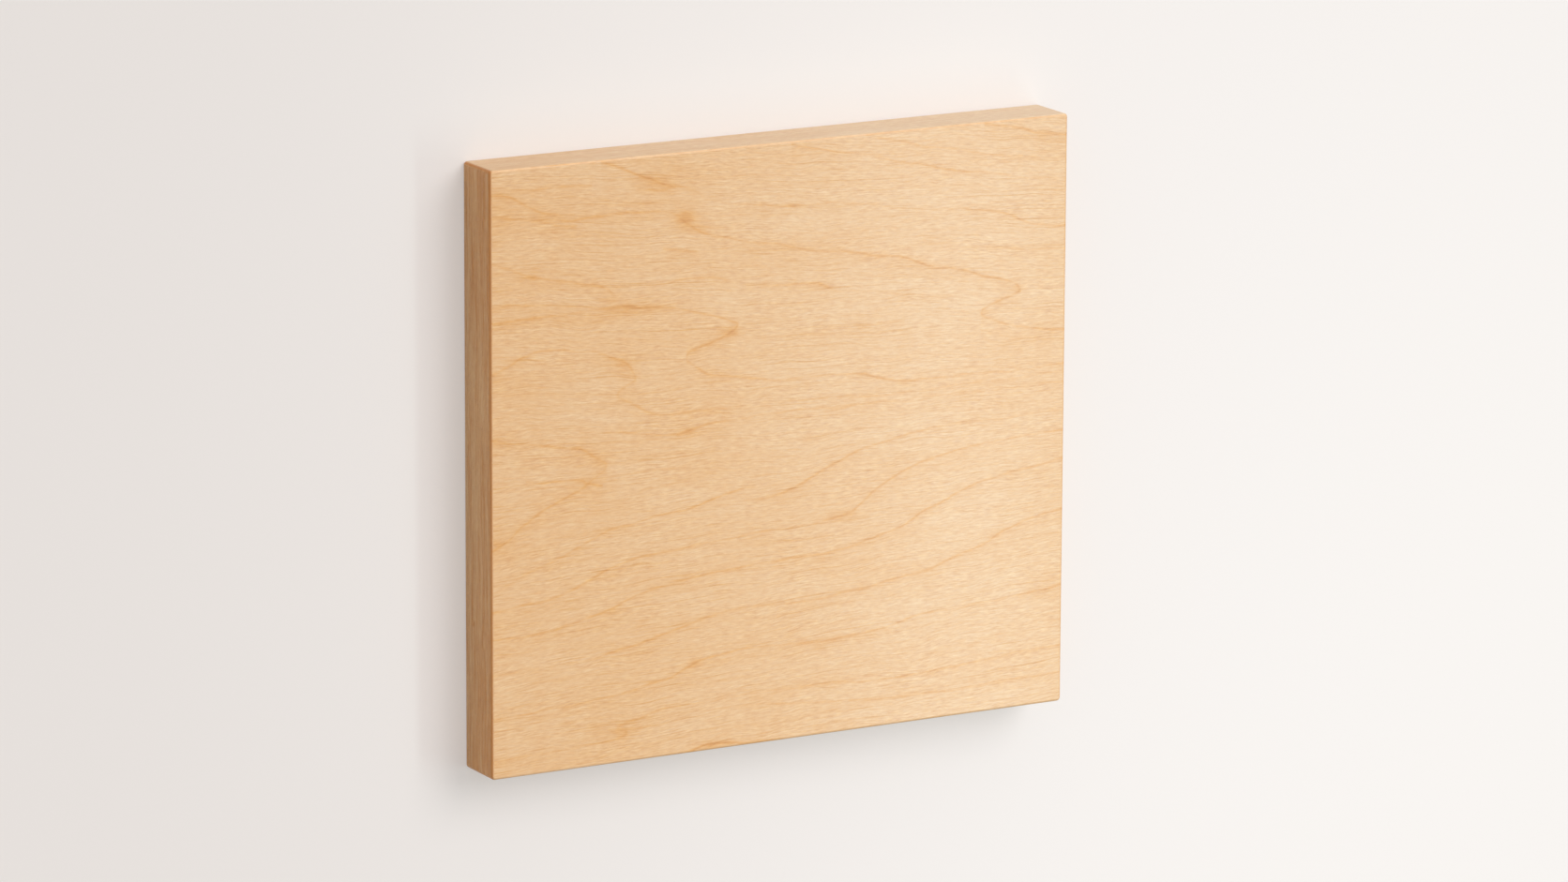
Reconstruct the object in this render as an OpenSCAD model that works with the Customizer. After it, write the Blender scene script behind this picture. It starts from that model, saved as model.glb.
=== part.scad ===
// Plywood sheet: one flat rectangular panel, lying on its back face.
// Every edge is eased by sanding, and the four corners are rounded off a little in plan.
// The origin is at the centre of the underside. X runs along the grain of the face,
// Y across it, and Z up through the thickness.

/* [Sheet] */
// Width of the sheet, along the grain of its face
sheet_width = 205; // [60:1:2500]
// Height of the sheet, across the grain of its face
sheet_height = 192; // [60:1:2500]
// Thickness of the sheet
sheet_thickness = 18; // [4:0.5:40]

/* [Edges] */
// Radius of the eased edges that run round the face and the underside
edge_radius = 0.8; // [0.2:0.1:1]
// Radius of the four corners, seen from above
corner_radius = 1.2; // [1.1:0.1:25]

/* [Hidden] */
$fn = 64;

// Half the distance between the corner axes, along X and along Y
corner_x = sheet_width / 2 - corner_radius;
corner_y = sheet_height / 2 - corner_radius;

// Colour of the face veneer in plain light
veneer_colour = [0.925, 0.765, 0.590];

// What sanding takes off one square edge: the corner of a square outside a tangent circle.
// The edge is at the origin, and the sheet lies towards -X and +Y.
module eased_away() {
    difference() {
        translate([-edge_radius, 0])
            square(edge_radius);
        translate([-edge_radius, edge_radius])
            circle(edge_radius);
    }
}

// Section of the rim, from the corner axis at X = 0 out to the edge, eased above and below
module rim_section() {
    difference() {
        square([corner_radius, sheet_thickness]);
        translate([corner_radius, 0])
            eased_away();
        translate([corner_radius, sheet_thickness])
            mirror([0, 1])
                eased_away();
    }
}

// One straight length of rim, centred on the origin and facing +X
module rim_straight(length) {
    translate([0, length / 2, 0])
        rotate([90, 0, 0])
            linear_extrude(length)
                rim_section();
}

// One rounded corner of the rim: the same section, turned a quarter round the corner axis
module rim_corner() {
    rotate_extrude(angle = 90)
        rim_section();
}

// The flat sheet inside the four corner axes
module field() {
    translate([-corner_x, -corner_y, 0])
        cube([2 * corner_x, 2 * corner_y, sheet_thickness]);
}

module plywood_sheet() {
    color(veneer_colour)
        union() {
            field();
            for (side = [0, 1])
                rotate([0, 0, 180 * side]) {
                    translate([corner_x, 0, 0])
                        rim_straight(2 * corner_y);
                    translate([0, corner_y, 0])
                        rotate([0, 0, 90])
                            rim_straight(2 * corner_x);
                    translate([corner_x, corner_y, 0])
                        rim_corner();
                    translate([-corner_x, corner_y, 0])
                        rotate([0, 0, 90])
                            rim_corner();
                }
        }
}

plywood_sheet();
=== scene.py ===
import math

import bpy
from mathutils import Matrix, Vector


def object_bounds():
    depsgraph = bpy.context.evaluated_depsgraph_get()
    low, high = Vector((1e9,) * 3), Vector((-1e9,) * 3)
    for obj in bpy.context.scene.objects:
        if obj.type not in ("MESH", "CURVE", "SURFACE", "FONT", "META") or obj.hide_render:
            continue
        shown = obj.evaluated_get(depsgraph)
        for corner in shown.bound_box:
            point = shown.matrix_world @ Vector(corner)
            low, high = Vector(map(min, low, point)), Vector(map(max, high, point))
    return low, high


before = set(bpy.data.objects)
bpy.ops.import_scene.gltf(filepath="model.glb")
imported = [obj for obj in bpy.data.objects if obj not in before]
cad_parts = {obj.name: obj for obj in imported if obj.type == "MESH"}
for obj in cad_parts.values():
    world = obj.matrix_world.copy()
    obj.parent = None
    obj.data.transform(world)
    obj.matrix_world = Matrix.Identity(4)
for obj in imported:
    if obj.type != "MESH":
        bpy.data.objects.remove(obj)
cad_box = [list(corner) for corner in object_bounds()]

# Sizes in millimetres, measured from the middle of the face unless a name says otherwise
MM_PER_M = 1000.0
HALF_LENGTH, HALF_HEIGHT, THICKNESS = [value * MM_PER_M for value in cad_box[1]]

# The growth lines of the face, drawn from left to right. X runs along the grain and Y
# across it. The third number is how strong the line is there: 1 is a clear line, 0.2 a faint one.
# Where a line doubles back on itself, so do its points. The drawing is 200 wide, and is stretched
# a little to fit the face: its X by the first number of FACE_FIT and its Y by the second, and the
# third is added to Y.
FACE_FIT = (1.022, 0.996, -0.42)
FACE_LINES = [
    [(71, 96, 0.8), (78, 94.5, 0.9), (84, 93.3, 0.9), (90, 91.5, 1), (100, 90, 1)],
    [(29, 96, 0.3), (36, 94, 0.6), (42, 92.8, 0.7), (48, 91.2, 0.6), (55, 90, 0.4), (68, 87, 0.5),
     (76, 85.5, 0.5), (88, 83.8, 0.3), (100, 82.5, 0.3)],
    [(3, 95.5, 0.8), (10, 94, 0.8), (17, 92, 0.7), (22, 91, 0.5), (28, 90.3, 0.3), (34, 88.6, 0.4),
     (40, 86.6, 0.7), (48, 85.2, 0.8), (54, 83.5, 0.9), (60, 82, 0.9), (66, 81, 0.8),
     (74, 79.8, 0.4), (84, 78, 0.4), (100, 75.5, 0.3)],
    [(-62.5, 96, 0.9), (-57, 93.8, 1), (-50, 90.7, 1.1), (-45, 88.8, 1.1), (-40, 86.6, 1),
     (-34, 85.1, 0.4), (-30, 83.6, 0.3), (-27, 81, 0.15), (-20, 78.8, 0.3), (-10, 77.8, 0.6),
     (0, 76.8, 0.8), (10, 76.2, 0.5), (20, 75.5, 0.4), (30, 74.1, 0.6), (38, 72.6, 0.4),
     (48, 71.2, 0.3), (57, 70, 0.4), (66, 69, 0.8), (73, 67.8, 0.9), (79, 66, 0.9), (85, 63.5, 0.6),
     (91, 61.8, 0.6), (100, 60.8, 0.8)],
    [(-100, 89, 1.2), (-94, 88.1, 1.1), (-88, 84.6, 0.5), (-83, 82.3, 1), (-78, 81.2, 0.6),
     (-72, 80.6, 0.2)],
    [(-86, 79.5, 0.5), (-80, 79.7, 0.7), (-72.5, 79.1, 0.9), (-65, 78.9, 0.9), (-58.3, 79.1, 0.8),
     (-50, 79.1, 0.9), (-42.3, 78.9, 0.6), (-38, 77.6, 0.3), (-33.5, 74, 0.6), (-28, 70.6, 0.9),
     (-20, 68.5, 0.6), (-12, 66.2, 0.7), (-4, 65, 0.7), (2, 63.4, 0.6), (8, 61.6, 0.4),
     (15, 60.5, 0.6), (22, 59.8, 1), (30, 58.3, 1.2), (36, 57, 1.2), (42, 56, 1.1), (46, 54.2, 1.1),
     (52, 52, 1), (60, 50.6, 0.9), (66, 48.9, 0.9), (71, 46.8, 1), (77, 45.4, 0.9),
     (81.5, 43.5, 0.5), (83.5, 41, 0.9), (80, 39.4, 0.7), (75, 37.8, 0.8), (70, 35.6, 0.7),
     (71, 33.6, 0.6), (75, 32, 0.7), (82, 29.8, 0.6), (90, 28, 0.9), (100, 26.7, 1)],
    [(-100, 67.5, 0.6), (-95, 66, 0.6), (-90, 63.6, 0.7), (-85, 61.8, 0.8), (-80, 60.5, 0.6),
     (-74, 59.8, 0.6), (-69, 58.5, 0.7), (-64, 57.5, 0.8), (-60, 55.6, 0.5), (-59, 53.6, 0.5),
     (-55, 53.6, 0.2), (-46, 55, 0.1), (-36, 56.6, 0.5), (-24, 56, 0.5), (-16, 53, 0.2),
     (-8, 51.8, 0.5), (2, 51.1, 0.7), (10, 50.7, 0.8), (14, 49.3, 1), (19, 47.4, 0.4),
     (28, 46.6, 0.5), (36, 45.2, 0.4), (46, 43.4, 0.2), (56, 41.5, 0.2), (62, 38.5, 0.1),
     (64, 35, 0.1), (68, 30.5, 0.1), (78, 27, 0.2), (90, 24.8, 0.3), (100, 23.5, 0.3)],
    [(-100, 49, 1.1), (-92, 49.3, 1), (-85, 49.4, 1), (-78, 49.6, 0.6), (-68, 49.8, 0.4),
     (-57, 50, 1), (-50, 49.3, 1.1), (-42, 48.5, 1), (-36, 47.3, 0.8), (-30, 45.3, 1),
     (-24, 43.8, 1), (-19, 41.6, 0.9), (-16, 40, 0.7), (-18, 38.2, 1), (-22, 36.6, 0.8),
     (-28, 34.7, 0.9), (-33, 32.8, 0.7), (-33.5, 30.5, 0.4), (-30, 28, 0.7), (-26, 25.6, 0.9),
     (-19, 23.8, 0.7), (-10, 22.1, 0.8), (0, 20.8, 0.7), (12, 20.8, 0.5), (20, 20.5, 0.6),
     (27, 20, 1), (33, 18.4, 1.2), (39, 16.6, 1.2), (44, 15.7, 1.2), (50, 16, 0.9), (60, 15.6, 0.4),
     (72, 15.2, 0.5), (86, 15.4, 0.3), (100, 15.8, 0.8)],
    [(-100, 33, 0.5), (-95, 35, 0.7), (-90, 37, 0.8), (-85, 38.1, 0.7), (-79, 38.7, 0.9),
     (-73, 38.1, 0.8), (-68, 37.2, 0.5), (-63, 35.9, 0.6), (-59, 33.9, 0.7), (-54.5, 32, 0.8),
     (-52, 29, 0.5), (-51.5, 26.4, 0.6), (-55, 24.2, 0.6), (-57.5, 22, 0.5), (-55, 20, 0.4),
     (-51, 18, 0.7), (-46, 15.4, 0.8), (-40, 14.3, 0.6), (-30, 14, 0.6), (-18, 14.2, 0.3),
     (0, 14, 0.2), (20, 12.9, 0.4), (30, 12.3, 0.7), (38, 12.2, 0.5), (56, 12.4, 0.2),
     (100, 12.9, 0.4)],
    [(-70, 11.7, 0.4), (-62, 10.7, 0.4), (-54, 9.8, 0.5), (-46, 8.3, 0.6), (-40, 7.8, 0.8),
     (-34, 7.9, 1.2), (-28, 8.9, 1), (-22, 9.7, 0.8), (-10, 10.2, 0.5), (2, 10.6, 0.6),
     (14, 10.5, 0.7), (24, 10.1, 0.7), (40, 10, 0.3), (60, 9.9, 0.3), (80, 9.6, 0.4),
     (100, 9.8, 0.5)],
    [(-100, 12.2, 0.9), (-95, 10.9, 0.9), (-88, 9.8, 0.7), (-82, 8.7, 0.9), (-76, 7.6, 0.8),
     (-70, 6.4, 0.9), (-66.5, 4.2, 0.7), (-63.5, 2.3, 0.5), (-61.3, 0.5, 0.5), (-62, -1.4, 0.4),
     (-65.5, -3.3, 0.4), (-69, -5.8, 0.7), (-74, -7.9, 0.8), (-80, -10.5, 0.9), (-86, -13.5, 0.8),
     (-91, -17, 0.8), (-95, -20.7, 0.9), (-100, -23, 1)],
    [(-100, -36, 0.2), (-92, -33, 0.3), (-85, -30, 0.5), (-78, -27.8, 0.8), (-72, -25.6, 0.7),
     (-66, -22.8, 0.8), (-60, -20.5, 0.8), (-53, -19.5, 0.8), (-47, -18.6, 0.7), (-40, -17.5, 0.9),
     (-33, -17, 1), (-27, -15.7, 1.1), (-20, -13.8, 1.1), (-14, -12.6, 0.7), (-9, -12.4, 0.2)],
    [(-9, -16.6, 0.2), (-4, -16.4, 0.6), (2, -15, 0.9), (7, -13.4, 1), (11, -11.3, 1),
     (15, -9.5, 0.9), (20, -7.3, 0.8), (25, -5.5, 1.1), (30, -4.2, 0.9), (37, -3, 0.8),
     (44, -1.7, 0.7), (52, -0.7, 0.5), (64, 0.2, 0.4), (80, 0.3, 0.3), (100, 0.5, 0.4)],
    [(-100, -42.4, 0.9), (-94, -41.8, 0.6), (-88, -41, 0.8), (-80, -40, 0.8), (-74, -38.3, 0.7),
     (-68, -36.2, 0.9), (-62, -33.8, 0.9), (-56, -31.6, 0.9), (-49, -30.3, 0.8), (-40, -29.5, 0.6),
     (-30, -28.8, 0.6), (-18, -27.9, 0.5), (-6, -27.2, 0.6), (6, -27, 0.5), (13, -26.7, 0.7),
     (19, -25.6, 1), (24, -24.4, 1), (27, -22.3, 0.9), (31, -19.2, 0.9), (36, -16.1, 0.9),
     (42, -13.3, 0.9), (48, -11.5, 0.8), (55, -10, 0.8), (62, -8.5, 0.9), (70, -7.6, 0.7),
     (80, -6.8, 0.7), (90, -6.3, 0.6), (100, -6, 1)],
    [(-100, -51.4, 1), (-90, -51, 0.8), (-80, -50.2, 0.8), (-72, -49, 0.8), (-65, -47.3, 0.9),
     (-59, -45.8, 1), (-53, -43.4, 0.9), (-47, -41.6, 0.8), (-41, -40.6, 0.6), (-34, -39.6, 0.6),
     (-26, -38.5, 0.8), (-18, -37.9, 0.8), (-8, -37.6, 0.4), (2, -37.3, 0.9), (10, -37, 0.9),
     (18, -36.4, 0.9), (26, -35.3, 0.8), (34, -33.4, 0.9), (40, -31.5, 0.9), (45, -29.6, 1),
     (50, -27.2, 1.1), (56, -25, 1.1), (62, -22.5, 0.9), (70, -20, 0.8), (79, -18.2, 0.7),
     (89, -16.7, 0.7), (100, -15.4, 0.8)],
    [(-100, -62.5, 0.7), (-92, -62.2, 0.5), (-80, -62, 0.3), (-68, -61.2, 0.4), (-58, -59.7, 1),
     (-50, -58.3, 1), (-42, -56.5, 0.9), (-36, -55.2, 0.8), (-30, -53.5, 0.8), (-25, -52.2, 0.7),
     (-16, -51.4, 0.5), (-5, -51.2, 0.5), (6, -51.7, 0.7), (14, -51.4, 0.6), (22, -50.3, 0.7),
     (30, -49.7, 0.7), (38, -48.3, 0.8), (46, -47, 0.8), (53, -46, 0.9), (60, -43.8, 1),
     (67, -42, 0.9), (73, -40.3, 0.7), (77, -37.8, 1), (82, -35.9, 0.8), (88, -34.2, 0.8),
     (100, -32, 1.1)],
    [(-100, -76.4, 0.6), (-90, -76.2, 0.7), (-80, -75.6, 0.7), (-70, -75, 0.7), (-60, -74, 0.6),
     (-52, -72.8, 0.8), (-46, -71.6, 0.8), (-40, -70.8, 0.9), (-35.5, -69, 0.9), (-31, -67.2, 1.1),
     (-26, -66, 0.9), (-18, -65, 0.9), (-10, -64.3, 0.8), (0, -64.7, 0.5), (8, -64.8, 0.8),
     (16, -65, 1), (24, -64.6, 0.8), (32, -64.2, 0.8), (38, -63.5, 0.8), (44, -62, 0.9),
     (51, -60.9, 0.7), (60, -60.5, 0.5), (70, -59.8, 0.7), (80, -59.6, 0.5), (88, -58.5, 0.9),
     (100, -57.5, 1)],
    [(-100, -90, 0.5), (-84, -89.7, 0.4), (-70, -89, 0.3), (-60, -88.2, 0.6), (-55.5, -87.2, 0.5),
     (-54.5, -85.8, 0.4), (-57.5, -84.6, 0.3), (-56, -83.6, 0.5), (-50, -82.4, 0.7),
     (-44, -81, 0.7), (-37, -80.1, 0.6), (-26, -79.9, 0.3), (-12, -79.5, 0.3), (0, -79.3, 0.4),
     (12, -79.4, 0.6), (22, -80, 0.6), (32, -80.3, 0.5), (42, -80.7, 0.7), (50, -80.4, 0.8),
     (57, -79.7, 0.9), (66, -79, 0.6), (78, -78.2, 0.6), (90, -77.5, 0.5), (100, -77, 0.8)],
    [(-30, -82.4, 0.2), (-16, -82.8, 0.3), (-5, -83.4, 0.6), (8, -84.8, 0.6), (18, -85.6, 0.7),
     (28, -86.4, 0.6), (38, -86.8, 0.8), (48, -87.1, 0.9), (58, -87.5, 0.7), (70, -87, 0.5),
     (85, -86.6, 0.5), (100, -86.5, 0.4)],
    [(-40, -96, 0.3), (-31, -95.2, 0.9), (-26, -94.1, 1.2), (-20, -94.3, 1.2), (-14, -94.8, 1),
     (-4, -95.4, 0.8), (6, -96, 0.3)],
    [(-88, -2.3, 0.5), (-84, -3, 0.9), (-78, -3.3, 0.8), (-70, -3.5, 0.7), (-68, -4.5, 0.9),
     (-63, -6, 1)],
    [(25, 35.7, 0.4), (42, 35.6, 0.4)],
    [(72, 56, 0.3), (84, 54.5, 0.5), (100, 53, 0.5)],
    [(-100, 81.9, 0.6), (-95, 81.3, 0.8), (-87.5, 80.2, 0.5), (-83.3, 79.4, 0.5),
     (-78.3, 78.1, 0.6), (-71.6, 76.9, 0.5)],
    [(-100, 90.2, 0.3), (-95, 89.9, 0.4), (-86.6, 89.3, 0.5), (-80, 89.7, 0.6), (-71.6, 89.6, 0.8),
     (-66.6, 89.3, 0.5)],
    [(-50, 86.3, 0.3), (-43.1, 85.7, 0.5), (-38.1, 85.7, 0.4)],
    [(-100, 53.8, 0.6), (-91.6, 54.1, 0.7), (-80.8, 52.8, 0.5), (-72.5, 52.1, 0.5),
     (-66.6, 51.3, 0.3)],
    [(-41.4, 66.9, 0.4), (-36.3, 66.1, 0.7), (-30.4, 64.7, 0.4)],
]

# Small brown spots, mostly where a line folds: the middle, half the length along the grain, half
# the height, and the strength
FACE_SPOTS = [
    (-34, 75.7, 2.9, 2.1, 1.9), (-29, 72, 3.0, 1.0, 0.6), (-44, 88.4, 5.5, 1.9, 0.8),
    (-19, 38.2, 3, 1.1, 1.2), (-26.5, 35, 3.2, 1, 0.7), (-31.5, 33.6, 1.8, 1, 0.4),
    (-87, 62.2, 2.6, 0.8, 0.8), (-76, 59.8, 4, 0.9, 0.3), (-60, 53, 2.4, 2.2, 0.5),
    (-55.7, 32.1, 2.4, 1.3, 0.6), (-54, 28.3, 3.2, 2, 0.45), (-90, 36.8, 4, 1.2, 0.4),
    (-54, 49.7, 2.6, 0.7, 0.5), (-65, 47, 8, 1.7, 0.25), (-67, 4.6, 3.4, 1.8, 0.45),
    (-62.6, 0.8, 3, 3, 0.55), (-68, -4.2, 5, 1.5, 0.5), (-33, 7.8, 2.6, 0.9, 0.9),
    (12.5, 50, 2.8, 1.3, 0.6), (2, 76.4, 2.4, 1.2, 0.5), (50, 61.3, 2, 1, 0.3),
    (83, 41.5, 2.5, 1, 0.7), (76, 38, 1.6, 1, 0.5), (71, 35, 1.6, 1.2, 0.5),
    (22, -25.6, 4.5, 1.6, 0.5), (-58.5, -46, 1.8, 0.9, 0.6), (-31, -67.3, 2.3, 1.3, 0.7),
    (-56, -86, 3.4, 1.6, 0.35), (76, -38.3, 1.8, 0.8, 0.8), (-26, -94.3, 4, 0.8, 0.9),
    (-48, 48.9, 10, 1.8, 0.45), (35, 18, 4, 1.1, 0.3), (34, 57.8, 6, 1, 0.25),
    (47, 54.3, 4, 1, 0.25), (47, -27.7, 5.5, 1.5, 0.45), (9, -37.2, 6, 1.1, 0.25),
    (26, -65, 12, 1.1, 0.25), (-22, -5, 13, 5, 0.14), (13, 0.5, 5, 2.2, 0.22),
    (-98, -21.5, 3.5, 2, 0.35),
]

# Dark lines along the left edge: along the edge, height above the underside, strength. They are
# drawn on an edge 19 high.
EDGE_FIT = (1.0, THICKNESS / 19.0, 0.0)
EDGE_LINES = [
    [(-96, 13.8, 0.8), (-60, 13.9, 0.8), (-53, 12.4, 1.2), (-40, 14, 0.9), (-11.5, 14.3, 0.8),
     (-1.5, 12.9, 0.7), (26, 12.4, 0.5), (42, 14.2, 0.6), (67, 13.8, 0.8), (96, 12.6, 0.7)],
    [(-76.5, 7.3, 0.5), (-66.5, 7, 0.7), (-49, 7, 0.8), (-46.5, 5.6, 0.8), (-14, 4.5, 0.6),
     (1, 4.8, 0.7), (16, 4.5, 0.4)],
    [(31, 7.5, 0.4), (41, 7.6, 0.7), (46, 8.8, 0.8), (53.5, 8.5, 0.8), (60, 7.3, 0.7),
     (70, 6.3, 0.7), (77, 5.5, 0.4)],
    [(-96, 5, 0.6), (-79, 5.3, 0.4)],
    [(-96, 9.3, 0.6), (-85, 9.8, 0.4)],
]

# Curves for the drawn lines. A curve's numbers are divided by these three, so that all are near 1.
CURVE_SPAN = 100.0
CURVE_STRENGTH = 2.0
CURVE_SHARPNESS = 4.0
# Points of a smooth curve from one drawn point to the next, and how near two that are kept may be
SAMPLES_PER_GAP = 8
LEAST_STEP = 0.25
# A line keeps half of its strength at its half width, and a spot at its half length and half height
LINE_HALF_WIDTH = 0.33
FALLOFF = 0.41
# A wider, weaker stain lies below each line
STAIN_DROP = 1.6
STAIN_HALF_WIDTH = 2.2
# An end of a line fades out over the first number, unless it is this near to the rim of the sheet
FADE_OUT = 0.8
RIM = 0.5
# A line is 1 flat where it runs along the grain and 0 where it runs across it, and weaker where it
# is less flat than this
STEEP = 0.55
# Keeps a length from being nothing
TINY = 1e-9

# Marks of the grain: length and height in millimetres, and a shift that gives each a pattern of its
# own. A mark with show is 0 where its noise is below the first number, and 1 above the second.
MARKS = {
    "grain": dict(length=2.7, height=0.40, shift=3.1, detail=2.0, roughness=0.6),
    "fleck": dict(length=5.0, height=0.75, shift=7.7, detail=3.0, roughness=0.6),
    "dash": dict(length=13.0, height=0.46, shift=1.9, show=(0.15, 0.75)),
    "hair": dict(length=55.0, height=0.85, shift=8.3, detail=2.0, show=(0.22, 0.80)),
    "thread": dict(length=70.0, height=0.40, shift=6.2, show=(0.24, 0.70)),
    "pale": dict(length=4.5, height=0.50, shift=4.9, show=(0.20, 0.80)),
    "streak": dict(length=34.0, height=3.2, shift=5.3, detail=3.0, roughness=0.55),
    "mottle": dict(length=60.0, height=15.0, shift=9.1, detail=2.0),
    "edge_streak": dict(length=32.0, height=1.2, shift=2.9, detail=2.0),
}
# Painted light and shade of the fine ripples and creases of the surface: marks that also wave a
# little, and are stronger in some patches of the sheet than in others
PAINTED_RELIEF_SHADES = {
    "painted_ripple_shade": dict(length=3.0, height=0.42, shift=2.2),
    "painted_crease_shade": dict(length=13.0, height=0.46, shift=5.7, detail=2.0, roughness=0.6),
}
PATCHES = dict(length=22.0, height=7.0, amount=1.2, shift=7.1)

# Slow bends of the grain, of the painted shade of the ripples and creases, and of the drawn lines.
# The amount is how far one bends.
GRAIN_BENDS = [
    dict(length=48.0, height=34.0, amount=1.3, shift=3.9),
    dict(length=19.0, height=10.0, amount=0.9, shift=1.4),
]
WAVE = dict(length=6.5, height=3.0, amount=0.5, shift=6.6)
DRIFT = dict(length=15.0, height=9.0, amount=0.7, shift=2.3)
SHAKE = dict(length=2.6, height=1.3, amount=0.18, shift=6.1)
EDGE_BEND = dict(length=14.0, height=6.0, amount=0.5, shift=8.2)
SPOT_SHAKE = 4.5
SHIFT_ACROSS = 1.7

# Each side of the sheet shows another part of the pattern: how far it is shifted along the grain,
# in whole steps, and how much further across it
SIDE_SHIFTS = {"X": 37.0, "Y": 53.0, "Z": 71.0}
SIDE_STEP = 10.0
SIDE_ACROSS = 1.3
# A point is on a side when the normal points at least this much that way
SQUARELY = 0.7

# The grain of the face leans one way at the bottom and the other way at the top. The lean is in
# millimetres to a millimetre, and is full this far from the middle.
LEAN_REACH = 60.0
LEAN_BELOW = -0.03
LEAN_ABOVE = 0.07

# Growth rings of the underside: from one to the next, how far they bend, as a share of that, and
# how sharp and how wide each is
RING_GAP = 15.0
RING_BEND = dict(length=85.0, height=34.0, amount=2.6, shift=4.4)
RING_SHARPNESS = 7.5
RING_WIDTH = 0.12

# How much each mark adds. BREAK is for the strength of the growth lines, which the marks break up.
BREAK_START = 1.03
BREAK = {"fleck": 0.5, "dash": 0.4, "x": 0.0020}
# Tone of the face, from 0 for pale wood to 1 for the golden wood of a growth line, and beyond both
FACE_START = 0.355
FACE_TONE = {
    "lines": 0.56,
    "stain": 0.10,
    "spots": 0.50,
    # Painted shade of the surface's creases, which also adds a little golden tone
    "painted_crease_shade": 0.06,
    "fleck": 0.26,
    "dash": 0.44,
    "hair": 0.40,
    "thread": 0.54,
    "pale": -0.19,
    "streak": 0.22,
    "mottle": 0.20,
}
# Tone of the ends and of the long edges, from 0 for the paler colour of each to 1 for the darker
END_START = 0.16
END_TONE = {
    "edge_streak": 0.90,
    "edge_lines": 0.50,
    "fleck": 0.35,
    "near_face": 0.25,
    # Painted light: the ends get paler towards the underside, which offsets the shade near the floor
    "z": 0.024,
    "near_corner": 0.28,
}
LONG_EDGE_START = 0.45
# The x weight is painted sheen: the long edges get paler towards the right.
LONG_EDGE_TONE = {"x": -0.0035, "edge_streak": 0.45, "fleck": 0.3, "streak": 0.3}
# What the marks take off the colour. MARK_SHADE is the same for red, green and blue. For the fine
# and the wide shade, each of the three has a pair of shares, larger for green and blue, so that
# the dark stays warm. The fine and the wide shade are partly the wood's own marks and partly
# painted light and shade of the surface's fine ripples and creases.
MARK_SHADE = {"dash": 0.055, "hair": 0.03, "thread": 0.05}
FINE_SHADE = {"grain": 0.115, "painted_ripple_shade": 0.07}
WIDE_SHADE = {"painted_crease_shade": 0.09, "fleck": 0.05}
CHANNEL_SHARES = [(1.06, 0.62), (1.74, 1.22), (1.95, 1.6)]
# The fine shade, with its painted light and shade of the ripples, gets stronger towards the right,
# by this share to a millimetre
FINE_SHADE_SLOPE = 0.001

# Colours as a picture shows them, 0 to 255. Each of the face's goes with a tone, and the others are
# for tone 0 and tone 1. The low edge is the long one that faces away from the light: its colours
# are a painted shaded copy of the long edges' own, darker and more golden.
FACE_COLOURS = [
    (-0.4, (246, 215, 178)),
    (0.0, (243, 206, 162)),
    (1.0, (235, 179, 113)),
    (2.0, (208, 138, 68)),
]
END_COLOURS = [(229, 184, 126), (206, 138, 57)]
LONG_EDGE_COLOURS = [(238, 212, 178), (224, 184, 137)]
SHADED_EDGE_COLOURS = [(233, 189, 133), (219, 164, 100)]
# The eased corner between a face and an end: where the normal's X makes it rise and end, and how
# much of its colour shows on the left end and on the right one
ARRIS_COLOUR = (205, 130, 58)
ARRIS_RISE = (0.25, 0.6)
ARRIS_END = (0.8, 0.97)
ARRIS_SHARES = (0.75, 0.4)
# The strip of an end next to the face, as depths below the face
NEAR_FACE = (2.0, 1.0)

# Finish: a faint bump from the fine marks, weaker on the long edges, and a roughness that grows
# from the face into the long edges, over this range of the normal's Y
BUMP_STRENGTH = 0.35
BUMP_METRES = 0.00004
LONG_EDGE_BUMP = 0.1
FLECK_ROUGHNESS = 0.04
FACE_ROUGHNESS = 0.26
LONG_EDGE_ROUGHNESS = 0.5
INTO_LONG_EDGE = (0.1, 0.5)

# Floor: its reach and drop in metres, and its colour to the camera and to the sheet. A share of
# what the camera sees of it is a glow, which gets brighter from left to right.
FLOOR_REACH = 30.0
FLOOR_DROP = 0.0001
FLOOR_COLOUR = [0.955, 0.915, 0.883, 1]
FLOOR_BOUNCE = [0.75, 0.73, 0.71, 1]
FLOOR_GLOW_SHARE = 0.45
FLOOR_GLOW_X = (-0.26, 0.16)
FLOOR_GLOW = [(226, 222, 218), (250, 246, 243)]

# Light: a pale surround, brighter towards the far side, a wide key from behind on the right, and a
# tall soft strip close by on the right, whose reflection lies on the right half of the face
SKY_SEEN = [0.80, 0.785, 0.765, 1]
SKY_TINT = (1.06, 1.0, 0.985)
SKY_LEVEL = 0.42
SKY_SLOPE = 0.30
FACE_METRES = THICKNESS / MM_PER_M
KEY_LIGHT = dict(position=(0.40, 0.50, 0.78), target=(0.0, 0.0, FACE_METRES), energy=1.49,
                 angle=math.radians(40), color=(1.0, 0.96, 0.95))
SOFT_STRIP = dict(position=(0.348, -0.12, 0.50), target=(0.10, 0.0, FACE_METRES), energy=0.74,
                  shape="RECTANGLE", size=0.06, size_y=0.42, color=(0.74, 0.97, 1.00))

# Camera: the photograph's own angle and lens, measured from the sheet
CAMERA_PLACE = (-1.1742, 0.5548, 2.1208)
CAMERA_AXIS = (0.47521, -0.22419, -0.85083)
CAMERA_UP = (0.10536, 0.97454, -0.19794)
CAMERA_LENS = 181.6
SENSOR_WIDTH = 36.0
NEAREST, FARTHEST = 0.05, 200.0


def linear(colour):
    """A colour as a picture shows it, 0 to 255, as the linear colour that shaders take."""
    shares = [value / 255 for value in colour]
    return [s / 12.92 if s <= 0.04045 else ((s + 0.055) / 1.055) ** 2.4 for s in shares] + [1]


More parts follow.
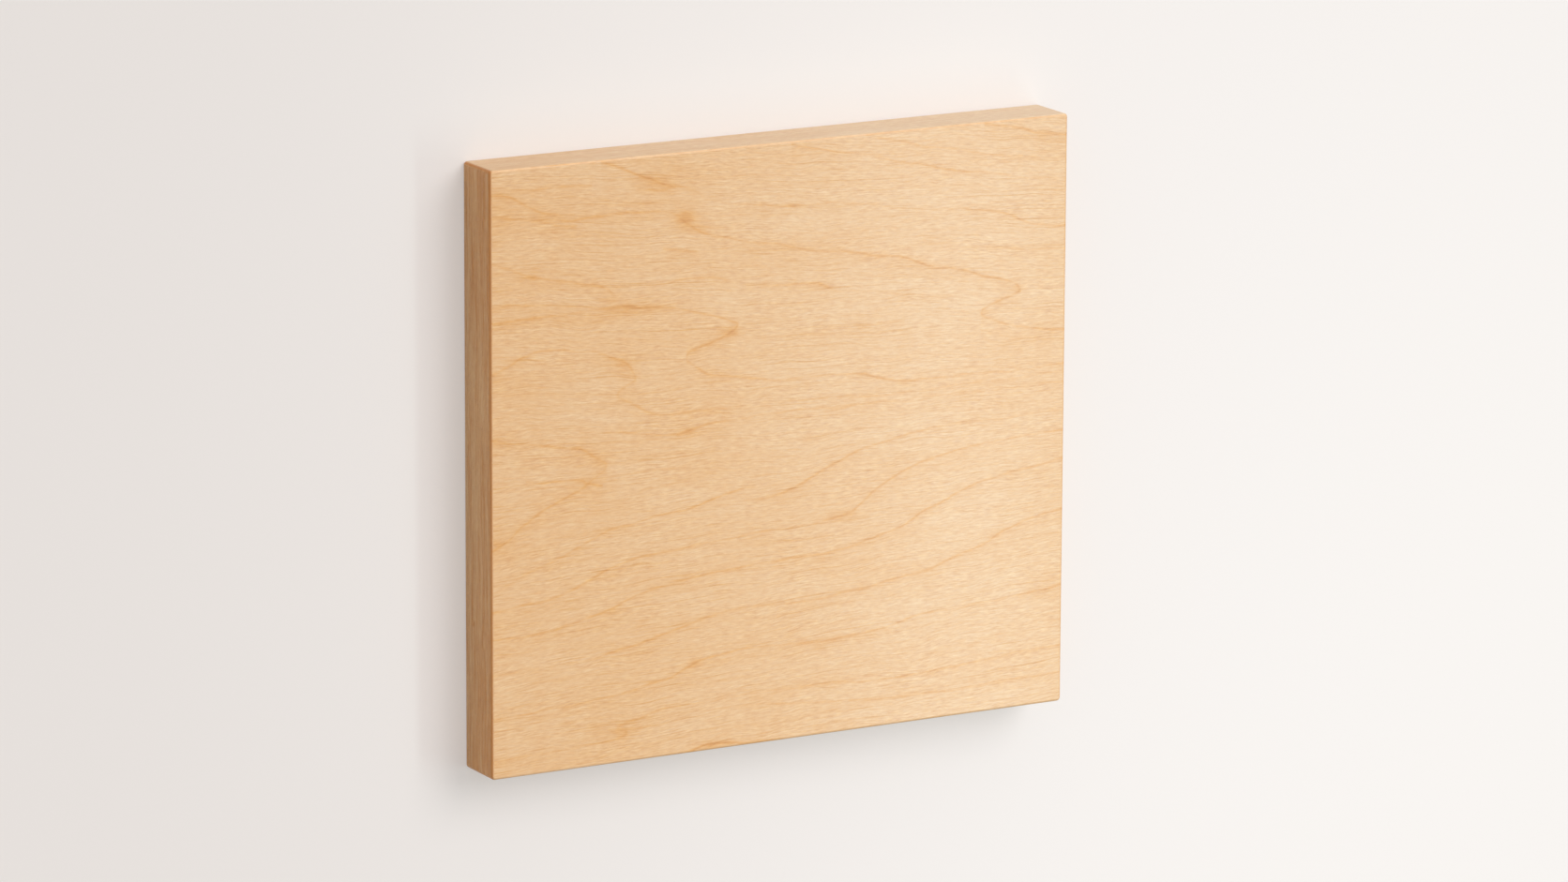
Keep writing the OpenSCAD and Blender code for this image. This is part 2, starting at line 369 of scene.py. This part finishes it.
def between(before, start, end, after, share):
    """A point on the smooth curve from start to end, with its strength."""
    return [
        0.5 * (2 * s + (e - b) * share + (2 * b - 5 * s + 4 * e - a) * share ** 2
               + (3 * s - b - 3 * e + a) * share ** 3)
        for b, s, e, a in zip(before, start, end, after)
    ]


def fitted(point, fit):
    """A drawn point in millimetres. Its other numbers stay as they are."""
    stretch_along, stretch_across, shift_across = fit
    return (point[0] * stretch_along, point[1] * stretch_across + shift_across, *point[2:])


def smooth(points):
    """The drawn points joined by a smooth curve, as closely spaced points."""
    ends = [points[0]] + list(points) + [points[-1]]
    made = []
    for i in range(len(points) - 1):
        for k in range(SAMPLES_PER_GAP):
            made.append(between(*ends[i:i + 4], k / SAMPLES_PER_GAP))
    made.append(list(points[-1]))
    return made


def runs(points):
    """A smooth line cut where it turns back: parts sorted along X, of (x, y, strength, flatness)."""
    line = smooth(points)
    parts = [[]]
    heading = 0
    for i, (x, y, strength) in enumerate(line):
        ahead = line[min(i + 1, len(line) - 1)]
        behind = line[max(i - 1, 0)]
        way = 1 if ahead[0] >= behind[0] else -1
        flatness = abs(ahead[0] - behind[0]) / (math.dist(ahead[:2], behind[:2]) + TINY)
        strength *= min(flatness / STEEP, 1)
        point = (x, y, strength, max(flatness, STEEP))
        if heading and way != heading:
            parts[-1].append(point)
            parts.append([])
        heading = way
        parts[-1].append(point)
    made = []
    for part in parts:
        part.sort()
        kept = [part[0]]
        for point in part[1:]:
            if point[0] - kept[-1][0] >= LEAST_STEP:
                kept.append(point)
        if len(kept) > 2:
            made.append(kept)
    return made


def faded(run, reach):
    """The run with ends that fade out, unless an end comes as far as reach."""
    made = list(run)
    if made[0][0] > -reach:
        x, y, _, flatness = made[0]
        made.insert(0, (x - FADE_OUT, y, 0, flatness))
    if made[-1][0] < reach:
        x, y, _, flatness = made[-1]
        made.append((x + FADE_OUT, y, 0, flatness))
    return made


class Graph:
    """Short calls that build one node tree. An input is a plain value or another node's output."""

    def __init__(self, tree):
        self.tree = tree

    def put(self, socket, value):
        if isinstance(value, bpy.types.NodeSocket):
            self.tree.links.new(value, socket)
        else:
            socket.default_value = value

    def add(self, kind, inputs=None, **settings):
        node = self.tree.nodes.new(kind)
        for name, value in settings.items():
            setattr(node, name, value)
        for key, value in (inputs or {}).items():
            self.put(node.inputs[key], value)
        return node

    def math(self, operation, *values):
        node = self.add("ShaderNodeMath", operation=operation)
        for socket, value in zip(node.inputs, values):
            self.put(socket, value)
        return node.outputs[0]

    def plus(self, first, *others):
        total = first
        for value in others:
            total = self.math("ADD", total, value)
        return total

    def times(self, a, b):
        return self.math("MULTIPLY", a, b)

    def weigh(self, start, parts, weights):
        """start plus each named part times its weight."""
        total = start
        for name, weight in weights.items():
            total = self.math("MULTIPLY_ADD", parts[name], weight, total)
        return total

    def point(self, x, y, z=0.0):
        return self.add("ShaderNodeCombineXYZ", {"X": x, "Y": y, "Z": z}).outputs[0]

    def split(self, vector):
        """The X, Y and Z of a vector, by name."""
        return self.add("ShaderNodeSeparateXYZ", {"Vector": vector}).outputs

    def scale(self, vector, factor):
        node = self.add("ShaderNodeVectorMath", {0: vector, "Scale": factor}, operation="SCALE")
        return node.outputs[0]

    def ramp(self, value, low, high):
        """0 at low and 1 at high, smoothly."""
        node = self.add("ShaderNodeMapRange", {"Value": value, "From Min": low, "From Max": high},
                        interpolation_type="SMOOTHSTEP")
        return node.outputs[0]

    def pick(self, share, a, b):
        """a where share is 0, and b where it is 1."""
        return self.add("ShaderNodeMix", {0: share, 2: a, 3: b}, data_type="FLOAT").outputs[0]

    def blend(self, share, a, b):
        """The same for colours. A share below 0 counts as 0, and one above 1 as 1."""
        return self.add("ShaderNodeMix", {0: share, 6: a, 7: b}, data_type="RGBA").outputs[2]

    def tint(self, share, colours):
        """The same for a pair of colours as a picture shows them."""
        return self.blend(share, *[linear(colour) for colour in colours])

    def noise(self, along, across, length, height, shift, amount=1.0, detail=1.0, roughness=0.5):
        """Noise about zero, with marks of about length by height millimetres and this swing."""
        spot = self.point(self.math("MULTIPLY_ADD", along, 1 / length, shift),
                          self.math("MULTIPLY_ADD", across, 1 / height, shift * SHIFT_ACROSS))
        inputs = {"Vector": spot, "Scale": 1.0, "Detail": detail, "Roughness": roughness}
        node = self.add("ShaderNodeTexNoise", inputs, noise_dimensions="2D")
        return self.math("MULTIPLY_ADD", node.outputs["Fac"], 2 * amount, -amount)

    def mark(self, along, across, show=None, **sizes):
        """One of the marks from the tables."""
        made = self.noise(along, across, **sizes)
        return self.ramp(made, *show) if show else made

    def seen(self):
        """1 where the camera sees a thing, also in gloss or through glass, and 0 for its light."""
        rays = self.add("ShaderNodeLightPath").outputs
        seen = self.math("MAXIMUM", rays["Is Camera Ray"], rays["Is Glossy Ray"])
        return self.math("MAXIMUM", seen, rays["Is Transmission Ray"])


def new_group(name, inputs, outputs):
    """A node group with these sockets, its graph, and its inputs by name."""
    tree = bpy.data.node_groups.new(name, "ShaderNodeTree")
    for socket, kind in inputs.items():
        tree.interface.new_socket(socket, in_out="INPUT", socket_type=kind)
    for socket in outputs:
        tree.interface.new_socket(socket, in_out="OUTPUT", socket_type="NodeSocketFloat")
    graph = Graph(tree)
    return tree, graph, graph.add("NodeGroupInput").outputs


def line_group():
    """The group that adds one drawn line to the sum of the lines before it.

    Curve holds the line's place across the grain, its strength and its sharpness. The line is
    strongest in its middle and fades to half at its half width. A wider, weaker stain lies just
    below it.
    """
    inputs = {"Across": "NodeSocketFloat", "Curve": "NodeSocketVector", "Lines": "NodeSocketFloat",
              "Stain": "NodeSocketFloat"}
    tree, graph, given = new_group("growth_line", inputs, ("Lines", "Stain"))
    curve = graph.split(given["Curve"])
    strength = curve["Y"]
    away = graph.math("SUBTRACT", given["Across"], curve["X"])

    sharp_away = graph.times(away, curve["Z"])
    steepness = FALLOFF * (CURVE_SPAN * CURVE_SHARPNESS) ** 2
    spread = graph.math("MULTIPLY_ADD", sharp_away, graph.times(sharp_away, steepness), 1.0)
    line = graph.math("DIVIDE", strength, graph.times(spread, spread))

    below = graph.math("ADD", away, STAIN_DROP / CURVE_SPAN)
    wide = (STAIN_HALF_WIDTH / CURVE_SPAN) ** 2
    stain = graph.math("DIVIDE", strength, graph.math("MULTIPLY_ADD", below, below, wide))

    graph.add("NodeGroupOutput", {
        "Lines": graph.math("MULTIPLY_ADD", line, CURVE_STRENGTH, given["Lines"]),
        "Stain": graph.math("MULTIPLY_ADD", stain, CURVE_STRENGTH * wide, given["Stain"]),
    })
    return tree


def spot_group():
    """The group that adds one soft oval spot to the sum of the spots before it."""
    names = ("Along", "Across", "Middle X", "Middle Y", "Half X", "Half Y", "Weight", "Spots")
    tree, graph, given = new_group("soft_spot", dict.fromkeys(names, "NodeSocketFloat"), ("Spots",))
    away_x = graph.math("SUBTRACT", given["Along"], given["Middle X"])
    away_y = graph.math("SUBTRACT", given["Across"], given["Middle Y"])
    u = graph.math("DIVIDE", away_x, given["Half X"])
    v = graph.math("DIVIDE", away_y, given["Half Y"])
    away = graph.math("MULTIPLY_ADD", v, v, graph.times(u, u))
    spread = graph.math("MULTIPLY_ADD", away, FALLOFF, 1.0)
    spot = graph.math("DIVIDE", given["Weight"], graph.times(spread, spread))
    graph.add("NodeGroupOutput", {"Spots": graph.math("ADD", spot, given["Spots"])})
    return tree


def line_curve(graph, along, run):
    """A line's place across the grain, strength and sharpness at a point along it."""
    first, last = run[0][0], run[-1][0]
    share = graph.add("ShaderNodeMapRange", {"Value": along, "From Min": first, "From Max": last,
                                             "To Min": -1.0, "To Max": 1.0})
    node = graph.add("ShaderNodeVectorCurve", {"Vector": share.outputs[0]})
    node.mapping.use_clip = False
    columns = [[], [], []]
    for x, y, strength, flatness in run:
        position = 2 * (x - first) / (last - first) - 1
        sharpness = flatness / LINE_HALF_WIDTH
        values = (y / CURVE_SPAN, strength / CURVE_STRENGTH, sharpness / CURVE_SHARPNESS)
        for column, value in zip(columns, values):
            column.append((position, value))
    for curve, column in zip(node.mapping.curves, columns):
        curve.points[0].location = column[0]
        curve.points[1].location = column[-1]
        for position, value in column[1:-1]:
            curve.points.new(position, value)
        for point in curve.points:
            point.handle_type = "AUTO"
    node.mapping.update()
    return node.outputs[0]


def drawn_lines(graph, group, along, across, lines, fit, reach):
    """Sums of all the drawn lines and their stains at a point, along and across in millimetres."""
    across = graph.times(across, 1 / CURVE_SPAN)
    total, stain = 0.0, 0.0
    for points in lines:
        for run in runs([fitted(point, fit) for point in points]):
            curve = line_curve(graph, along, faded(run, reach))
            inputs = {"Across": across, "Curve": curve, "Lines": total, "Stain": stain}
            node = graph.add("ShaderNodeGroup", node_tree=group)
            for key, value in inputs.items():
                graph.put(node.inputs[key], value)
            total, stain = node.outputs["Lines"], node.outputs["Stain"]
    return total, stain


def drawn_spots(graph, along, across):
    """The sum of all the drawn spots at a point of the face, in millimetres."""
    group = spot_group()
    total = 0.0
    for spot in FACE_SPOTS:
        node = graph.add("ShaderNodeGroup", node_tree=group)
        for socket, value in zip(node.inputs, (along, across, *fitted(spot, FACE_FIT), total)):
            graph.put(socket, value)
        total = node.outputs["Spots"]
    return total


def places(graph):
    """Where a point is in millimetres, which way it faces, and 1 or 0 for each kind of side."""
    where = graph.add("ShaderNodeTexCoord").outputs
    at = graph.split(graph.scale(where["Object"], MM_PER_M))
    facing = graph.split(where["Normal"])
    side_x = graph.math("ABSOLUTE", facing["X"])
    side_y = graph.math("ABSOLUTE", facing["Y"])
    end = graph.math("GREATER_THAN", side_x, SQUARELY)
    long_edge = graph.math("GREATER_THAN", side_y, SQUARELY)
    return {
        "x": at["X"],
        "y": at["Y"],
        "z": at["Z"],
        "facing": facing,
        "side_x": side_x,
        "side_y": side_y,
        "front": graph.math("GREATER_THAN", facing["Z"], SQUARELY),
        "end": end,
        "long_edge": long_edge,
        "edge": graph.math("MAXIMUM", end, long_edge),
        # The long edge that faces away from the light, which gets painted shaded colours
        "shaded_long_edge": graph.math("LESS_THAN", facing["Y"], -SQUARELY),
        "right": graph.math("GREATER_THAN", facing["X"], 0.0),
    }


def grain_marks(graph, wood):
    """The fine marks of the wood, which run along the grain on every side, with painted light and
    shade of its fine ripples and creases.
    """
    shift = graph.weigh(0.0, wood["facing"], SIDE_SHIFTS)
    shift = graph.times(graph.math("ROUND", graph.times(shift, 1 / SIDE_STEP)), SIDE_STEP)
    along = graph.plus(graph.pick(wood["end"], wood["x"], wood["y"]), shift)
    straight = graph.plus(graph.pick(wood["edge"], wood["y"], wood["z"]),
                          graph.times(shift, SIDE_ACROSS))
    lean = graph.pick(graph.ramp(wood["y"], -LEAN_REACH, LEAN_REACH), LEAN_BELOW, LEAN_ABOVE)
    across = graph.plus(straight, graph.times(graph.times(wood["x"], lean), wood["front"]))
    for bend in GRAIN_BENDS:
        across = graph.plus(across, graph.noise(along, straight, **bend))
    marks = {name: graph.mark(along, across, **sizes) for name, sizes in MARKS.items()}

    wavy = graph.plus(across, graph.noise(along, across, **WAVE))
    patches = graph.plus(graph.noise(along, across, **PATCHES), 1.0)
    # Painted light and shade of the surface's fine ripples and creases, stronger in patches
    for name, sizes in PAINTED_RELIEF_SHADES.items():
        marks[name] = graph.times(graph.mark(along, wavy, **sizes), patches)
    return marks


def figure(graph, group, wood):
    """The growth lines, stains and spots. The underside has growth rings of its own."""
    x, y, front = wood["x"], wood["y"], wood["front"]
    shake = graph.noise(x, y, **SHAKE)
    across = graph.plus(y, graph.noise(x, y, **DRIFT), shake)
    lines, stain = drawn_lines(graph, group, x, across, FACE_LINES, FACE_FIT, HALF_LENGTH - RIM)
    spots = drawn_spots(graph, x, graph.plus(y, graph.times(shake, SPOT_SHAKE)))

    rings = graph.math("MULTIPLY_ADD", across, 1 / RING_GAP, graph.noise(x, y, **RING_BEND))
    share = graph.math("FRACT", rings)
    away = graph.math("MULTIPLY_ADD", share, RING_SHARPNESS, -RING_SHARPNESS / 2)
    spread = graph.math("MULTIPLY_ADD", away, away, RING_WIDTH)
    rings = graph.math("DIVIDE", RING_WIDTH, spread)
    broken = graph.weigh(BREAK_START, wood, BREAK)
    return {
        "lines": graph.times(graph.pick(front, rings, lines), broken),
        "stain": graph.times(stain, front),
        "spots": graph.times(spots, front),
    }


def end_marks(graph, group, wood):
    """What an end shows besides the grain. The right end has the left one's lines, turned over."""
    x, y, z = wood["x"], wood["y"], wood["z"]
    along = graph.times(y, graph.math("SIGN", graph.times(x, -1.0)))
    up = graph.pick(graph.math("GREATER_THAN", x, 0.0), z, graph.math("SUBTRACT", THICKNESS, z))
    up = graph.plus(up, graph.noise(y, z, **EDGE_BEND))
    lines, _ = drawn_lines(graph, group, along, up, EDGE_LINES, EDGE_FIT, HALF_HEIGHT - RIM)
    return {
        "edge_lines": lines,
        "near_corner": graph.times(graph.times(y, y), 1 / HALF_HEIGHT ** 2),
        "near_face": graph.ramp(z, *[THICKNESS - depth for depth in NEAR_FACE]),
    }


def face_colour(graph, wood):
    """The colours of the face and the underside, by tone."""
    low, high = FACE_COLOURS[0][0], FACE_COLOURS[-1][0]
    tone = graph.weigh(FACE_START, wood, FACE_TONE)
    share = graph.math("MULTIPLY_ADD", tone, 1 / (high - low), -low / (high - low))
    ramp = graph.add("ShaderNodeValToRGB", {"Fac": share})
    stops = ramp.color_ramp.elements
    for level, _ in FACE_COLOURS[1:-1]:
        stops.new((level - low) / (high - low))
    for stop, (_, colour) in zip(stops, FACE_COLOURS):
        stop.color = linear(colour)
    return ramp.outputs["Color"]


def wood_colour(graph, wood):
    """The colour of each side, with a deeper orange along the eased corner of an end, and a painted
    shaded copy on the long edge that faces away from the light.
    """
    end_tone = graph.weigh(END_START, wood, END_TONE)
    long_tone = graph.weigh(LONG_EDGE_START, wood, LONG_EDGE_TONE)
    long_edge = graph.blend(wood["shaded_long_edge"], graph.tint(long_tone, LONG_EDGE_COLOURS),
                            graph.tint(long_tone, SHADED_EDGE_COLOURS))
    colour = graph.blend(wood["long_edge"], face_colour(graph, wood), long_edge)
    colour = graph.blend(wood["end"], colour, graph.tint(end_tone, END_COLOURS))
    arris = graph.math("SUBTRACT", graph.ramp(wood["side_x"], *ARRIS_RISE),
                       graph.ramp(wood["side_x"], *ARRIS_END))
    arris = graph.times(arris, graph.pick(wood["right"], *ARRIS_SHARES))
    return graph.blend(arris, colour, linear(ARRIS_COLOUR))


def shaded(graph, wood, colour):
    """The colour, darkened by the fine marks: partly the wood's own, partly painted light and shade
    of the surface's fine ripples and creases.
    """
    fine = graph.times(graph.weigh(0.0, wood, FINE_SHADE),
                       graph.math("MULTIPLY_ADD", wood["x"], FINE_SHADE_SLOPE, 1.0))
    wide = graph.weigh(0.0, wood, WIDE_SHADE)
    marks = graph.weigh(0.0, wood, MARK_SHADE)
    shades = []
    for fine_share, wide_share in CHANNEL_SHARES:
        shade = graph.math("MULTIPLY_ADD", fine, -fine_share, 1.0)
        shade = graph.math("MULTIPLY_ADD", wide, -wide_share, shade)
        shades.append(graph.math("SUBTRACT", shade, marks))
    node = graph.add("ShaderNodeVectorMath", {0: colour, 1: graph.point(*shades)},
                     operation="MULTIPLY")
    return node.outputs[0]


def new_material(name):
    """A material with an empty node tree, and its graph."""
    material = bpy.data.materials.new(name)
    material.use_nodes = True
    material.node_tree.nodes.clear()
    return material, Graph(material.node_tree)


def veneer_material():
    """Rotary-cut veneer on the two faces and long grain round the edges, with a satin finish."""
    material, graph = new_material("hardwood_veneer")
    group = line_group()
    wood = places(graph)
    wood.update(grain_marks(graph, wood))
    wood.update(figure(graph, group, wood))
    wood.update(end_marks(graph, group, wood))
    colour = shaded(graph, wood, wood_colour(graph, wood))

    height = graph.times(graph.plus(wood["fleck"], wood["grain"]),
                         graph.pick(wood["long_edge"], 1.0, LONG_EDGE_BUMP))
    bump = graph.add("ShaderNodeBump", {"Height": height, "Strength": BUMP_STRENGTH,
                                        "Distance": BUMP_METRES})
    into_long_edge = graph.ramp(wood["side_y"], *INTO_LONG_EDGE)
    rough = graph.math("MULTIPLY_ADD", wood["fleck"], FLECK_ROUGHNESS,
                       graph.pick(into_long_edge, FACE_ROUGHNESS, LONG_EDGE_ROUGHNESS))
    shader = graph.add("ShaderNodeBsdfPrincipled", {"Base Color": colour, "Roughness": rough,
                                                    "Normal": bump.outputs[0], "IOR": 1.5})
    graph.add("ShaderNodeOutputMaterial", {"Surface": shader.outputs[0]})
    return material


def floor_material():
    """A pale floor. The camera sees a glow of its own in it, and the sheet gets less light back."""
    material, graph = new_material("pale_floor")
    seen = graph.seen()
    colour = graph.blend(seen, FLOOR_BOUNCE, FLOOR_COLOUR)
    lit = graph.add("ShaderNodeBsdfDiffuse", {"Color": colour})
    place = graph.split(graph.add("ShaderNodeTexCoord").outputs["Object"])
    glow = graph.tint(graph.ramp(place["X"], *FLOOR_GLOW_X), FLOOR_GLOW)
    pale = graph.add("ShaderNodeEmission", {"Color": glow, "Strength": 1.0})
    share = graph.times(seen, FLOOR_GLOW_SHARE)
    shader = graph.add("ShaderNodeMixShader", {0: share, 1: lit.outputs[0], 2: pale.outputs[0]})
    graph.add("ShaderNodeOutputMaterial", {"Surface": shader.outputs[0]})
    return material


def add_floor():
    corners = [(x * FLOOR_REACH, y * FLOOR_REACH, -FLOOR_DROP)
               for x, y in ((-1, -1), (1, -1), (1, 1), (-1, 1))]
    mesh = bpy.data.meshes.new("floor")
    mesh.from_pydata(corners, [], [(0, 1, 2, 3)])
    mesh.materials.append(floor_material())
    floor = bpy.data.objects.new("floor", mesh)
    bpy.context.scene.collection.objects.link(floor)


def add_surround():
    """The light from all round, and the pale background that the camera sees in its place."""
    world = bpy.data.worlds.new("surround")
    bpy.context.scene.world = world
    world.use_nodes = True
    world.node_tree.nodes.clear()
    graph = Graph(world.node_tree)
    way = graph.split(graph.add("ShaderNodeTexCoord").outputs["Generated"])
    light = graph.scale(SKY_TINT, graph.math("MULTIPLY_ADD", way["Y"], SKY_SLOPE, SKY_LEVEL))
    colour = graph.blend(graph.seen(), light, SKY_SEEN)
    background = graph.add("ShaderNodeBackground", {"Color": colour, "Strength": 1.0})
    graph.add("ShaderNodeOutputWorld", {"Surface": background.outputs[0]})


def looking(position, axis, up):
    """The matrix of a lamp or camera at position that looks along axis, with up towards its top."""
    back = -Vector(axis).normalized()
    right = Vector(up).cross(back).normalized()
    turn = Matrix((right, back.cross(right), back)).transposed()
    return Matrix.LocRotScale(Vector(position), turn.to_quaternion(), None)


def add_lamp(name, kind, position, target, energy, **settings):
    data = bpy.data.lights.new(name, kind)
    data.energy = energy
    for key, value in settings.items():
        setattr(data, key, value)
    lamp = bpy.data.objects.new(name, data)
    lamp.matrix_world = looking(position, Vector(target) - Vector(position), (0, 1, 0))
    lamp.visible_camera = False
    bpy.context.scene.collection.objects.link(lamp)


def add_camera():
    data = bpy.data.cameras.new("camera")
    data.sensor_fit = "HORIZONTAL"
    data.sensor_width = SENSOR_WIDTH
    data.lens = CAMERA_LENS
    data.clip_start = NEAREST
    data.clip_end = FARTHEST
    camera = bpy.data.objects.new("camera", data)
    camera.matrix_world = looking(CAMERA_PLACE, CAMERA_AXIS, CAMERA_UP)
    bpy.context.scene.collection.objects.link(camera)
    bpy.context.scene.camera = camera


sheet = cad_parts["plywood_sheet"]
veneer = veneer_material()
for slot in sheet.material_slots:
    slot.material = veneer

add_floor()
add_surround()
add_lamp("key_light", "SUN", **KEY_LIGHT)
add_lamp("soft_strip", "AREA", **SOFT_STRIP)
add_camera()
bpy.context.scene.view_settings.view_transform = "Standard"

bpy.context.view_layer.update()
